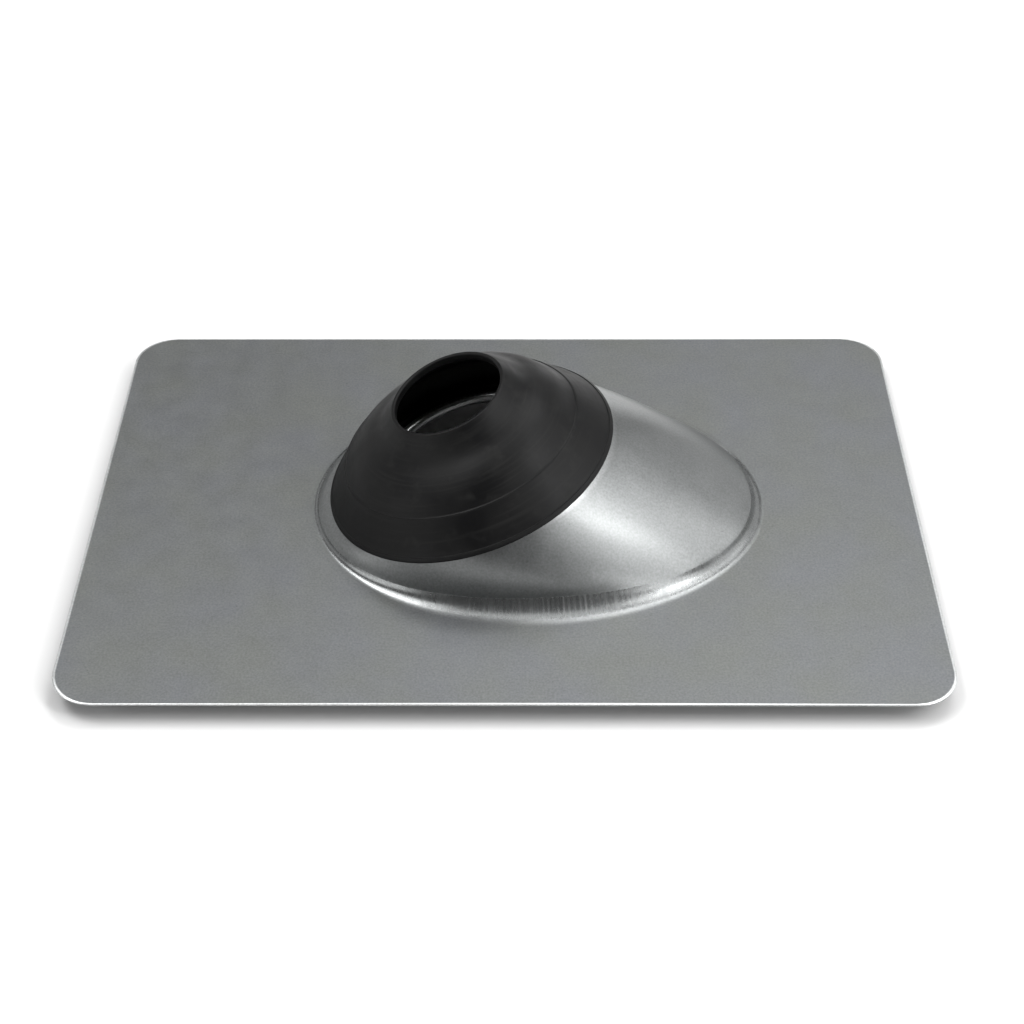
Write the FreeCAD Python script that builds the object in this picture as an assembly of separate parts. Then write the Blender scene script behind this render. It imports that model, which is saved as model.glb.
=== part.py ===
import FreeCAD, Part
import os
from math import acos, atan2, ceil, cos, hypot, pi, sin, tan

# Pipe flashing boot for a roof vent pipe, in millimetres.
# A galvanised steel sheet is drawn up into an oblique cone, and a moulded rubber collar
# is clenched into the rolled rim at the cone's top. The pipe passes up through the cone
# and the collar's mouth. Origin: middle of the sheet's underside. +X points down the
# roof's slope, +Z away from the roof, and the collar leans up the slope, towards -X.

# Sheet
BASE_LENGTH = 317.5        # along the slope, X
BASE_WIDTH = 215.9         # across the slope, Y
CORNER_RADIUS = 16.0
SHEET = 0.7                # steel thickness

# Foot of the drawn form, where it leaves the flat sheet: an egg, fuller up the slope
FOOT_CENTRE = 12.7
FOOT_HALF_LENGTH = 87.3
FOOT_HALF_WIDTH = 69.3
FOOT_EGG = 0.035           # share by which the up-slope half is wider than an ellipse

# Step round the foot: a concave sweep, then a short wall up to a soft crease
STEP_RUN_DOWN_SLOPE = 5.6
STEP_RUN_UP_SLOPE = 5.0
STEP_RUN_SIDES = 10.4
STEP_FULLNESS = 0.095      # share by which the crease's ends are fuller than an ellipse's
STEP_HEIGHT = 4.8
STEP_HEIGHT_UP_SLOPE = 2.0  # the step fades where the cone's steep side comes down to it
SWEEP_SHARE = 0.45         # share of the step's run taken by the sweep
WALL_CROWN = 0.025         # bulge of the cone's wall, as a share of the wall's length

# Collar's axis
LEAN = 17.0                # degrees from the sheet's normal
RIM_CENTRE = -13.7         # X of the middle of the skirt's lower edge
RIM_HEIGHT = 21.6          # and its height above the flat sheet

# Collar, as radius and height along its axis above the skirt's lower edge
SKIRT_RADIUS = 56.4
SKIRT_TOP_RADIUS = 46.2
SKIRT_HEIGHT = 12.2
SKIRT_WALL = 2.0
BEAD_HEIGHT = 1.8          # thickened lower edge
BEAD = 0.6                 # how far it stands proud of the skirt
LEDGE = 1.1                # fine step between skirt and dome
DOME_TOP_RADIUS = 28.8
DOME_TOP_HEIGHT = 25.2
DOME_CROWN = 1.0           # bulge of the dome's side
MOUTH_RADIUS = 21.0        # grips the pipe
MOUTH_HEIGHT = 32.2
MOUTH_LAND = 3.0           # straight length of the mouth's wall
LIP_WALL = 1.7
COLLAR_WALL = 1.8
FLANGE = 1.8               # inner flange that lies on the steel seat

# Rolled rim of the steel
RIDGE_HEIGHT = 6.5
RIDGE_WIDTH = 3.6
SEAT_HEIGHT = -1.3         # upper face of the turned-in seat
THROAT_RADIUS = 35.0       # clear opening in the steel
CURL_WIDTH = 3.4           # outward curl that holds the flange down
BEND = 1.0                 # inside radius of the bends
SEAT_GAP = 0.2             # clearance of rubber to steel away from the flat seat

# Roundings of the collar
NECK_ROUND = 5.0
EDGE_ROUND = 0.6

# Fineness
POINTS = 24                # points round each section of the drawn form
SWEEP_STRIPS = 2           # strips up the foot's sweep
WALL_STRIPS = 5            # strips up the cone's wall
SAG = 0.3                  # how far a chord may leave the arc that it stands for
STEP = 1e-3                # for slopes, in radians round the form and shares up it
FUZZ = 1e-3                # faces nearer than this count as one when solids are joined


# ---- Paths of (radius, height, corner radius), in a plane through the collar's axis

def direction(a, b):
    """Direction from path point a to b, and their distance."""
    length = hypot(b[0] - a[0], b[1] - a[1])
    return (b[0] - a[0]) / length, (b[1] - a[1]) / length, length


def turn_at(a, b, c):
    """Signed turn of the path at b, positive to the left."""
    ux, uy, _ = direction(a, b)
    vx, vy, _ = direction(b, c)
    return atan2(ux * vy - uy * vx, ux * vx + uy * vy)


def offset_path(path, distance):
    """The path moved to its left, with mitred corners and corner radii that match."""
    moved = []
    last = len(path) - 1
    for i, (r, h, corner) in enumerate(path):
        ux, uy, _ = direction(path[max(i - 1, 0)], path[max(i, 1)])
        turn = turn_at(path[i - 1], path[i], path[i + 1]) if 0 < i < last else 0.0
        back = distance * tan(turn / 2)
        if corner:
            corner = max(corner - distance if turn > 0 else corner + distance, 0.0)
        moved.append((r - uy * distance - ux * back, h + ux * distance - uy * back, corner))
    return moved


def at_height(a, b, height, corner=0.0):
    """The point of the line through a and b at a height."""
    ux, uy, _ = direction(a, b)
    return a[0] + ux * (height - a[1]) / uy, height, corner


def at_radius(a, b, radius, corner=0.0):
    """The point of the line through a and b at a radius."""
    ux, uy, _ = direction(a, b)
    return radius, a[1] + uy * (radius - a[0]) / ux, corner


def sharp(corner):
    """The same corner of a path, not rounded."""
    return corner[:2] + (0.0,)


def rounded_corner(before, corner, after):
    """Points of the arc that rounds a path's corner, near enough that no chord between
    them leaves the arc by more than SAG; one point if the corner is sharp."""
    ux, uy, reach_in = direction(corner, before)
    vx, vy, reach_out = direction(corner, after)
    half_turn = abs(turn_at(before, corner, after)) / 2
    back = min(corner[2] * tan(half_turn), reach_in, reach_out)
    if back < FUZZ:
        return [FreeCAD.Vector(corner[0], 0, corner[1])]
    radius = back / tan(half_turn)
    bx, by, _ = direction((0, 0), (ux + vx, uy + vy))
    centre = FreeCAD.Vector(corner[0] + bx * radius / cos(half_turn), 0,
                            corner[1] + by * radius / cos(half_turn))
    start = FreeCAD.Vector(corner[0] + ux * back, 0, corner[1] + uy * back) - centre
    end = FreeCAD.Vector(corner[0] + vx * back, 0, corner[1] + vy * back) - centre
    chords = max(1, ceil(half_turn / acos(max(1 - SAG / radius, 0))))
    shares = [i / chords for i in range(chords + 1)]
    spokes = [start * sin((1 - s) * 2 * half_turn) + end * sin(s * 2 * half_turn) for s in shares]
    return [centre + spoke * (1 / sin(2 * half_turn)) for spoke in spokes]


def revolved(path):
    """Turns a closed path about the collar's axis and stands it in its place."""
    count = len(path)
    points = []
    for i, corner in enumerate(path):
        points += rounded_corner(path[i - 1], corner, path[(i + 1) % count])
    profile = Part.Face(Part.makePolygon(points + points[:1]))
    solid = profile.revolve(FreeCAD.Vector(), FreeCAD.Vector(0, 0, 1), 360)
    solid.Placement = collar_placement()
    return solid


def collar_placement():
    turn = FreeCAD.Rotation(FreeCAD.Vector(0, 1, 0), -LEAN)
    return FreeCAD.Placement(FreeCAD.Vector(RIM_CENTRE, 0, SHEET + RIM_HEIGHT), turn)


# ---- Steel rim and collar, which share the skirt's line

SKIRT_LINE = [(SKIRT_RADIUS, 0.0, 0.0), (SKIRT_TOP_RADIUS, SKIRT_HEIGHT, 0.0)]
CURL_LIP = SEAT_HEIGHT + FLANGE + SEAT_GAP


def rim_side():
    """The side of the rolled rim that faces the rubber, from the cone's wall to the curl."""
    line = offset_path(SKIRT_LINE, SKIRT_WALL + SEAT_GAP)
    start = at_height(*line, 0.0)
    ridge = at_height(*line, RIDGE_HEIGHT, BEND + SHEET)
    ridge_inner = ridge[0] - RIDGE_WIDTH
    neck = THROAT_RADIUS + SHEET
    lip = THROAT_RADIUS + CURL_WIDTH - SHEET
    curl = (lip - neck) / 2
    return [start, ridge,
            (ridge_inner, RIDGE_HEIGHT, BEND + SHEET), (ridge_inner, SEAT_HEIGHT, BEND),
            (neck, SEAT_HEIGHT, BEND), (neck, CURL_LIP + curl, curl),
            (lip, CURL_LIP + curl, curl), (lip, CURL_LIP, 0.0)]


def rim_sides():
    """Both sides of the rim's sheet, each starting in the plane of the skirt's edge."""
    near = rim_side()
    far = offset_path(near, SHEET)
    far[0] = at_height(far[0], far[1], 0.0)
    return near, far


def rolled_rim():
    """Ridge, turned-in seat and outward curl, one sheet thickness all through."""
    near, far = rim_sides()
    return revolved(near + far[::-1])


def dome_path():
    """Outside of dome and neck, from the ledge to the lip."""
    foot = (SKIRT_TOP_RADIUS - LEDGE, SKIRT_HEIGHT, 0.0)
    top = (DOME_TOP_RADIUS, DOME_TOP_HEIGHT, NECK_ROUND)
    ux, uy, chord = direction(foot, top)
    bulge = 2 * DOME_CROWN
    shoulder = ((foot[0] + top[0]) / 2 + uy * bulge, (foot[1] + top[1]) / 2 - ux * bulge,
                chord * chord / (8 * bulge))
    return [foot, shoulder, top, (MOUTH_RADIUS + LIP_WALL, MOUTH_HEIGHT, EDGE_ROUND)]


def collar():
    """Moulded collar: skirt outside the ridge, leg and flange inside it, dome and mouth.
    Corners out of sight, inside the dome and round the ridge's groove, are left sharp."""
    near = rim_side()
    groove_top = RIDGE_HEIGHT + SEAT_GAP
    leg = near[2][0] - SEAT_GAP
    flange_end = THROAT_RADIUS + CURL_WIDTH / 2
    flange_top = SEAT_HEIGHT + FLANGE
    inside_line = offset_path(SKIRT_LINE, SKIRT_WALL)
    bead = at_height(*SKIRT_LINE, BEAD_HEIGHT)
    bead_root = offset_path([bead, SKIRT_LINE[1]], BEAD)[0]
    dome = dome_path()
    lining = offset_path(dome, COLLAR_WALL)
    land_end = MOUTH_HEIGHT - MOUTH_LAND
    path = [
        (SKIRT_RADIUS, 0.0, EDGE_ROUND), bead, bead_root,
        (SKIRT_TOP_RADIUS, SKIRT_HEIGHT, EDGE_ROUND), *dome,
        (MOUTH_RADIUS, MOUTH_HEIGHT, EDGE_ROUND), (MOUTH_RADIUS, land_end, 0.0),
        at_height(lining[2], lining[3], land_end), sharp(lining[2]), sharp(lining[1]),
        at_radius(lining[0], lining[1], leg - COLLAR_WALL),
        (leg - COLLAR_WALL, flange_top, 0.0), (flange_end, flange_top, 0.0),
        (flange_end, SEAT_HEIGHT, 0.0), (leg, SEAT_HEIGHT, BEND + SHEET),
        (leg, groove_top, 0.0), at_height(*inside_line, groove_top),
        at_height(*inside_line, 0.0)]
    return revolved(path)


# ---- Drawn form of the sheet

def foot_point(u):
    """Where the form leaves the flat sheet, at angle u from down-slope."""
    half_width = FOOT_HALF_WIDTH * (1 - FOOT_EGG * cos(u))
    return FreeCAD.Vector(FOOT_CENTRE + FOOT_HALF_LENGTH * cos(u), half_width * sin(u), SHEET)


def crease_point(u):
    """Top of the step at angle u: the foot's egg drawn in by the step's run, and raised."""
    down = FOOT_CENTRE + FOOT_HALF_LENGTH - STEP_RUN_DOWN_SLOPE
    up = FOOT_CENTRE - FOOT_HALF_LENGTH + STEP_RUN_UP_SLOPE
    fullness = 1 + STEP_FULLNESS * cos(u) ** 2 - FOOT_EGG * cos(u)
    half_width = (FOOT_HALF_WIDTH - STEP_RUN_SIDES) * fullness
    fade = (STEP_HEIGHT - STEP_HEIGHT_UP_SLOPE) * ((1 - cos(u)) / 2) ** 4
    return FreeCAD.Vector((down + up) / 2 + (down - up) / 2 * cos(u), half_width * sin(u),
                          SHEET + STEP_HEIGHT - fade)


def rim_point(u, radius):
    """Point of the circle where the cone's wall meets the rolled rim."""
    return collar_placement().multVec(FreeCAD.Vector(radius * cos(u), radius * sin(u), 0))


def drawn_point(u, station):
    """Top side of the drawn sheet at angle u. The station runs from 0 at the foot to 1 at
    the end of the sweep's arc, to 2 at the crease and in a slight crown to 3 at the rim."""
    foot, crease = foot_point(u), crease_point(u)
    rise = FreeCAD.Vector(0, 0, crease.z - foot.z)
    inwards = crease - foot - rise
    sweep = SWEEP_SHARE * inwards.Length
    slope = atan2(rise.Length, inwards.Length - sweep)
    radius = sweep / tan(slope / 2)
    inwards.normalize()
    angle = slope * min(station, 1.0)
    arc = inwards * (radius * sin(angle)) + FreeCAD.Vector(0, 0, radius * (1 - cos(angle)))
    if station <= 1:
        return foot + arc
    if station <= 2:
        return (foot + arc) * (2 - station) + crease * (station - 1)
    share = station - 2
    rim = rim_point(u, rim_sides()[0][0][0])
    wall = rim - crease
    out = (crease_point(u + STEP) - crease_point(u - STEP)).cross(wall).normalize()
    return crease + wall * share + out * (WALL_CROWN * wall.Length * 4 * share * (1 - share))


def skin_point(u, station, depth):
    """A point of the drawn sheet, a depth below its top side."""
    if station == 3:
        near, far = rim_sides()
        return rim_point(u, far[0][0] if depth else near[0][0])
    here = drawn_point(u, station)
    ahead = drawn_point(u, station + STEP) - here
    behind = here - drawn_point(u, station - STEP) if station else ahead
    around = drawn_point(u + STEP, station) - drawn_point(u - STEP, station)
    up = ahead * (1 / ahead.Length) + behind * (1 / behind.Length)
    return here - around.cross(up).normalize() * depth


def section(station, depth):
    """Closed curve round the drawn form at one station."""
    curve = Part.BSplineCurve()
    angles = [2 * pi * i / POINTS for i in range(POINTS)]
    curve.interpolate([skin_point(u, station, depth) for u in angles], PeriodicFlag=True)
    return Part.Wire(curve.toShape())


def drawn_skin(depth):
    """Faces of the drawn form a depth below its top side, and the wires at foot and rim."""
    stations = [i / SWEEP_STRIPS for i in range(SWEEP_STRIPS + 1)]
    stations += [2 + i / WALL_STRIPS for i in range(WALL_STRIPS + 1)]
    wires = [section(station, depth) for station in stations]
    return Part.makeLoft(wires, False, True).Faces, wires[0], wires[-1]


def flat_skin(top_hole, bottom_hole):
    """Faces of the flat sheet with rounded corners, open where the form is drawn up."""
    corner = FreeCAD.Vector(-BASE_LENGTH / 2, -BASE_WIDTH / 2, 0)
    sheet = Part.makeBox(BASE_LENGTH, BASE_WIDTH, SHEET, corner)
    upright = [e for e in sheet.Edges if abs(e.tangentAt(e.FirstParameter).z) > 0.5]
    faces = []
    for face in sheet.makeFillet(CORNER_RADIUS, upright).Faces:
        if face.BoundBox.ZLength < SHEET / 2:
            hole = top_hole if face.CenterOfMass.z > SHEET / 2 else bottom_hole
            face = Part.Face([face.OuterWire, hole])
            face.validate()
        faces.append(face)
    return faces


def flashing_base():
    """The one piece of steel: flat sheet, drawn form hollow beneath, and rolled rim."""
    top, top_foot, top_rim = drawn_skin(0.0)
    underside, bottom_foot, bottom_rim = drawn_skin(SHEET)
    end = Part.Face([top_rim, bottom_rim])
    end.validate()
    skin = Part.Compound(flat_skin(top_foot, bottom_foot) + top + underside + [end])
    skin.sewShape()
    drawn_sheet = Part.Solid(skin.Shells[0])
    return drawn_sheet.fuse(rolled_rim(), FUZZ).removeSplitter().Solids[0]


def main():
    os.makedirs("parts", exist_ok=True)
    parts = {"flashing_base": flashing_base(), "pipe_collar": collar()}
    for name, shape in parts.items():
        print(name, shape.isValid(), len(shape.Solids), "volume", round(shape.Volume, 1))
        shape.exportStep("parts/" + name + ".step")


main()
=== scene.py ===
# %% [markdown]
# # A pipe flashing boot
# A roof flashing has two pieces. One is a sheet of galvanised steel that a press drew up into a
# slanting cone. The other is a black rubber collar, moulded in one piece and clenched into the
# cone's rolled rim, which grips the vent pipe. Both pieces are a section carried round a closed
# loop, so this lesson makes each of them as one grid of points, worked out with numpy.
#
# The CAD model is the fixed frame: it gives the place and size of everything here.

# %% The fixed frame
import bpy
import numpy as np
from mathutils import Matrix, Vector


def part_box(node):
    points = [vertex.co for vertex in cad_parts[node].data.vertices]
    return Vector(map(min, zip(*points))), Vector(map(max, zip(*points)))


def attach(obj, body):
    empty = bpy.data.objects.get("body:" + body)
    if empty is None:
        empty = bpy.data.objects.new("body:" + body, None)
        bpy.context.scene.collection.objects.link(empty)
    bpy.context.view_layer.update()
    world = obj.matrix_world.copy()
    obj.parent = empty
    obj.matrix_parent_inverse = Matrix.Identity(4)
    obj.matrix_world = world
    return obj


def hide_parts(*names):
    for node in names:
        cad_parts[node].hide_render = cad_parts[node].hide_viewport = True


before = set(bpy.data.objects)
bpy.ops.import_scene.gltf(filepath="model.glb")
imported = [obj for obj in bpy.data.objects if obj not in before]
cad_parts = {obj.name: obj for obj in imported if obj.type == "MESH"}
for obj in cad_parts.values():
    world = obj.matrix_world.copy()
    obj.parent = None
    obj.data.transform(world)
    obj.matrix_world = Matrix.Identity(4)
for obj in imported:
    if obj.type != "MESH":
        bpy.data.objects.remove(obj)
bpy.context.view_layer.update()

# %% [markdown]
# ## Sizes
# Blender works in metres and a drawing in millimetres, so MM turns one into the other. The sheet's
# length and width are read from the frame. Every other size is the drawing's own, and is named
# where it is first needed.

# %% The flat sheet
MM = 0.001
SHEET = 0.7 * MM
base_low, base_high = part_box("flashing_base")
BASE_LENGTH = base_high.x - base_low.x
BASE_WIDTH = base_high.y - base_low.y
print("sheet:", round(BASE_LENGTH / MM, 1), "by", round(BASE_WIDTH / MM, 1), "mm")

# %% [markdown]
# ## Camera
# The camera looks down at about 41 degrees through a long lens, so the sheet's sides converge only
# slightly. Its angles could be typed into the camera's panel. Here its axes are worked out from
# azimuth, elevation and roll and put in its matrix, because that shows what each angle does.

# %% Camera
AZIMUTH, ELEVATION, ROLL = np.radians([0.694, 40.928, -0.454])
DISTANCE = 720.1 * MM
AIM = np.array([2.32, -6.39, 0.7]) * MM
LENS = 65.62

back = np.array([np.sin(AZIMUTH) * np.cos(ELEVATION), -np.cos(AZIMUTH) * np.cos(ELEVATION),
                 np.sin(ELEVATION)])
level = np.array([np.cos(AZIMUTH), np.sin(AZIMUTH), 0.0])
raised = np.cross(back, level)
right = np.cos(ROLL) * level + np.sin(ROLL) * raised
above = np.cos(ROLL) * raised - np.sin(ROLL) * level
turn = Matrix(np.stack([right, above, back], axis=1).tolist()).to_4x4()
camera = bpy.data.objects.new("camera", bpy.data.cameras.new("camera"))
camera.data.lens = LENS
camera.matrix_world = Matrix.Translation(Vector(AIM + back * DISTANCE)) @ turn
bpy.context.scene.collection.objects.link(camera)
bpy.context.scene.camera = camera
print("camera at", [round(v, 4) for v in camera.location])

# %% [markdown]
# ## A section carried round a loop
# A sheet with a hole in it, and a moulded ring, are both the same thing to a mesh: rows that run
# round the hole, and columns that cross the section and come back to where they began. Extruding
# and bevelling would also make them, but a grid keeps every row and column even, and lets each
# point carry its own place in the pattern, as a UV map.

# %% A mesh from a closed grid
def ring_mesh(name, grid):
    """Quads over a grid of points, rows by columns. Both ways are closed: the last row joins the
    first, and the last column the first. The UV map counts columns across and rows up, from 0
    to 1."""
    rows, columns = grid.shape[:2]
    index = np.arange(rows * columns).reshape(rows, columns)
    ahead = np.roll(index, -1, axis=1)
    corners = [index, ahead, np.roll(ahead, -1, axis=0), np.roll(index, -1, axis=0)]
    faces = np.stack(corners, axis=-1).reshape(-1, 4)
    mesh = bpy.data.meshes.new(name)
    mesh.from_pydata(grid.reshape(-1, 3).tolist(), [], faces.tolist())
    row, column = np.mgrid[0:rows, 0:columns]
    across = np.stack([column, column + 1, column + 1, column], axis=-1) / columns
    along = np.stack([row, row, row + 1, row + 1], axis=-1) / rows
    uv = mesh.uv_layers.new(name="UVMap")
    uv.data.foreach_set("uv", np.stack([across, along], axis=-1).astype(np.float32).ravel())
    mesh.shade_smooth()
    piece = bpy.data.objects.new(name, mesh)
    bpy.context.scene.collection.objects.link(piece)
    print(name, rows, "rows by", columns, "columns,", 2 * rows * columns, "triangles")
    return piece


# %% [markdown]
# ## Sections with rounded corners
# The rim and the collar are turned shapes. Their sections could be drawn as curves by hand, but
# the walls would not stay even. So each is written as a few corners with a radius, every corner
# becomes an arc, and moving a section sideways by a wall's thickness keeps inside and outside
# parallel, as in the real sheet and in the real mould.

# %% A path of corners, each as (radius from the axis, height, rounding)
def unit(v):
    """The same direction, one long."""
    return v / np.linalg.norm(v)


def moved(path, distance):
    """The path shifted to its left: each corner goes to where the two shifted sides cross."""
    points = np.array([p[:2] for p in path])
    sides = [unit(b - a) for a, b in zip(points[:-1], points[1:])]
    out = []
    for i, p in enumerate(points):
        a, b = sides[max(i - 1, 0)], sides[min(i, len(sides) - 1)]
        left = np.array([-a[1], a[0]]) + np.array([-b[1], b[0]])
        turned = a[0] * b[1] - a[1] * b[0]
        rounding = path[i][2]
        if rounding:
            rounding = max(rounding - np.sign(turned) * distance, 0.0)
        out.append((*(p + left * distance / (1 + a @ b)), rounding))
    return out


def on_line(path, height=None, radius=None):
    """The point of the path's first line at a height, or at a radius."""
    a, b = (np.array(p[:2]) for p in path[:2])
    share = (height - a[1]) / (b[1] - a[1]) if radius is None else (radius - a[0]) / (b[0] - a[0])
    return a + (b - a) * share


# %% Points along such a path
SAME_POINT = 0.01 * MM  # two points closer than this become one


def rounded(path, closed, chords, longest=None):
    """Points along the path, each rounded corner an arc: start and end lie where the arc meets
    the sides, and the middle follows the circle. Long sides are cut to the longest step."""
    points = np.array([p[:2] for p in path])
    out = []
    for i, p in enumerate(points):
        before, after = points[i - 1], points[(i + 1) % len(points)]
        is_end = not closed and i in (0, len(points) - 1)
        if is_end or not path[i][2]:
            out.append(p[None])
            continue
        u, v = unit(before - p), unit(after - p)
        half = (np.pi - np.arccos(np.clip(u @ v, -1, 1))) / 2
        reach = min(np.linalg.norm(before - p), np.linalg.norm(after - p))
        back_off = min(path[i][2] * np.tan(half), reach)
        radius = back_off / np.tan(half)
        centre = p + unit(u + v) * radius / np.cos(half)
        start, end = p + u * back_off - centre, p + v * back_off - centre
        s = np.linspace(0, 1, chords + 1)[:, None]
        arc = (start * np.sin((1 - s) * 2 * half) + end * np.sin(s * 2 * half)) / np.sin(2 * half)
        out.append(centre + arc)
    line = np.concatenate(out)
    line = line[np.r_[True, np.linalg.norm(np.diff(line, axis=0), axis=1) > SAME_POINT]]
    if longest:
        ends = np.concatenate([line[1:], line[:1]]) if closed else line[1:]
        steps = [np.ceil(np.linalg.norm(e - s) / longest).astype(int) for s, e in zip(line, ends)]
        pieces = [s + (e - s) * np.arange(n)[:, None] / n for s, e, n in zip(line, ends, steps)]
        line = np.concatenate(pieces + ([] if closed else [line[-1:]]))
    return line


# %% The leaning axis that the rim and the collar share
LEAN = np.radians(17.0)
RIM_CENTRE = -13.7 * MM
RIM_HEIGHT = 21.6 * MM


def in_place(points):
    """Turns points about the rim's centre by the lean, and lifts them to the rim."""
    x, y, z = points[..., 0], points[..., 1], points[..., 2]
    return np.stack([x * np.cos(LEAN) - z * np.sin(LEAN) + RIM_CENTRE, y,
                     x * np.sin(LEAN) + z * np.cos(LEAN) + SHEET + RIM_HEIGHT], axis=-1)


def turned_grid(section, angles):
    """Carries a section round the collar's axis: radius times cosine and sine, height as it is."""
    r, h = section[:, :1], section[:, 1:]
    flat = np.stack([r * np.cos(angles), r * np.sin(angles), h + 0 * angles], axis=-1)
    return in_place(flat)


print("rim's centre in mm:", np.round(in_place(np.zeros(3)) / MM, 2))

# %% [markdown]
# ## Steel sheet
# A press draws the sheet over a punch, so the form has no seam: a flat flange, a small sweep up
# at the foot, a short step, a soft crease and then the cone's wall, which leans over
# towards the round rim. At the up-slope end the cone stands nearly upright, so there the step all
# but disappears and the wall bulges a little.
#
# A flat mesh could be sculpted into this form, but its lines would wander. So the four lines that
# the form passes through, the outline, the foot, the crease and the rim, are written as formulas
# of one angle. Each column of the grid starts at the sheet's edge and follows that angle up to
# the curl inside the throat, then comes back beneath, one sheet thickness lower.

# %% The foot and the crease
FOOT_CENTRE = 12.7 * MM
FOOT_HALF_LENGTH = 87.3 * MM
FOOT_HALF_WIDTH = 69.3 * MM
FOOT_EGG = 0.035  # how much slimmer it grows towards the down-slope end, as a share
STEP_RUN_DOWN_SLOPE = 5.6 * MM
STEP_RUN_UP_SLOPE = 5.0 * MM
STEP_RUN_SIDES = 10.4 * MM
STEP_FULLNESS = 0.095  # how much the crease is fuller than an ellipse towards its ends
STEP_HEIGHT = 4.8 * MM
STEP_HEIGHT_UP_SLOPE = 1.4 * MM
STEP_PULL = 0.6  # how much of the step's run goes where the step fades


def foot(u):
    """An ellipse made egg-shaped: its half width shrinks as the cosine grows."""
    half = FOOT_HALF_WIDTH * (1 - FOOT_EGG * np.cos(u))
    x = FOOT_CENTRE + FOOT_HALF_LENGTH * np.cos(u)
    return np.stack([x, half * np.sin(u), SHEET + 0 * u], -1)


def up_slope(u):
    """0 at the down-slope end and 1 at the up-slope end, as half of one minus the cosine."""
    return (1 - np.cos(u)) / 2


def step_fade(u):
    """Nearly 0 for half of the loop, then smoothly to 1 at the up-slope end."""
    return up_slope(u) ** 4


def crease(u):
    """The foot's egg drawn in by the step's run. Where the step fades it sinks and moves back out
    towards the foot."""
    down = FOOT_CENTRE + FOOT_HALF_LENGTH - STEP_RUN_DOWN_SLOPE
    up = FOOT_CENTRE - FOOT_HALF_LENGTH + STEP_RUN_UP_SLOPE
    fullness = 1 + STEP_FULLNESS * np.cos(u) ** 2 - FOOT_EGG * np.cos(u)
    half = (FOOT_HALF_WIDTH - STEP_RUN_SIDES) * fullness
    fade = (STEP_HEIGHT - STEP_HEIGHT_UP_SLOPE) * step_fade(u)
    line = np.stack([(down + up) / 2 + (down - up) / 2 * np.cos(u), half * np.sin(u),
                     SHEET + STEP_HEIGHT - fade], -1)
    return line + (foot(u) - line) * [1, 1, 0] * STEP_PULL * step_fade(u)[..., None]


ENDS = np.array([[0.0, np.pi]])  # the down-slope and the up-slope end
print("crease above the sheet at both ends, in mm:", np.round((crease(ENDS)[0, :, 2] - SHEET) / MM, 2))

# %% The sheet's outline
CORNER_RADIUS = 16.0 * MM
TINY = 1e-9  # stands in for 0 where a ray runs along an axis


def edge(u):
    """Where the ray from the form's centre through the foot meets the sheet's rounded outline:
    first the straight sides, and near a corner the circle that rounds it."""
    centre = np.array([FOOT_CENTRE, 0.0])
    ray = foot(u)[..., :2] - centre
    ray = np.where(np.abs(ray) < TINY, TINY, ray)
    half = np.array([BASE_LENGTH, BASE_WIDTH]) / 2
    reach = ((half * np.sign(ray) - centre) / ray).min(axis=-1)
    hit = centre + ray * reach[..., None]
    hub = (half - CORNER_RADIUS) * np.sign(ray)
    a = (ray ** 2).sum(-1)
    b = (ray * (centre - hub)).sum(-1)
    c = ((centre - hub) ** 2).sum(-1) - CORNER_RADIUS ** 2
    round_reach = (-b + np.sqrt(np.maximum(b * b - a * c, 0))) / a
    in_corner = (np.abs(hit) > half - CORNER_RADIUS).all(axis=-1)
    reach = np.where(in_corner, round_reach, reach)
    hit = centre + ray * reach[..., None]
    return np.concatenate([hit, np.full(hit.shape[:-1] + (1,), SHEET)], -1)


print("outline's ends in mm:", np.round(edge(ENDS)[0, :, 0] / MM, 2))

# %% The rolled rim's section
SKIRT = np.array([[56.4, 0.0], [46.2, 12.2]]) * MM  # radius and height, of its edge and its top
SKIRT_WALL = 2.0 * MM
RIDGE_HEIGHT = 6.5 * MM
RIDGE_WIDTH = 3.6 * MM
SEAT_HEIGHT = -1.3 * MM
SEAT_GAP = 0.2 * MM
THROAT_RADIUS = 35.0 * MM
FLANGE = 1.8 * MM
CURL_WIDTH = 3.4 * MM
BEND = 1.0 * MM
RIM_CHORDS = 5

skirt_line = [(*SKIRT[0], 0.0), (*SKIRT[1], 0.0)]
steel_line = moved(skirt_line, SKIRT_WALL + SEAT_GAP)
curl_lip = SEAT_HEIGHT + FLANGE + SEAT_GAP
rim_start = on_line(steel_line, height=0.0)
ridge_outer = on_line(steel_line, height=RIDGE_HEIGHT)
ridge_inner = ridge_outer[0] - RIDGE_WIDTH
neck = THROAT_RADIUS + SHEET
lip = THROAT_RADIUS + CURL_WIDTH - SHEET
curl = (lip - neck) / 2
rim_path = [(*rim_start, 0.0), (*ridge_outer, BEND + SHEET), (ridge_inner, RIDGE_HEIGHT, BEND + SHEET),
            (ridge_inner, SEAT_HEIGHT, BEND), (neck, SEAT_HEIGHT, BEND), (neck, curl_lip + curl, curl),
            (lip, curl_lip + curl, curl), (lip, curl_lip, 0.0)]
rim_section = rounded(rim_path, closed=False, chords=RIM_CHORDS)
print("rim section:", len(rim_section), "points")

# %% The drawn wall
SWEEP_SHARE = 0.58  # how much of the step's run the sweep takes
WALL_CROWN = 0.025  # the wall's bulge as a share of its length
UP_SLOPE_CROWN = 0.06  # and how much more at the up-slope end
NUDGE = 0.001  # a small angle either way gives the crease's direction


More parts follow.
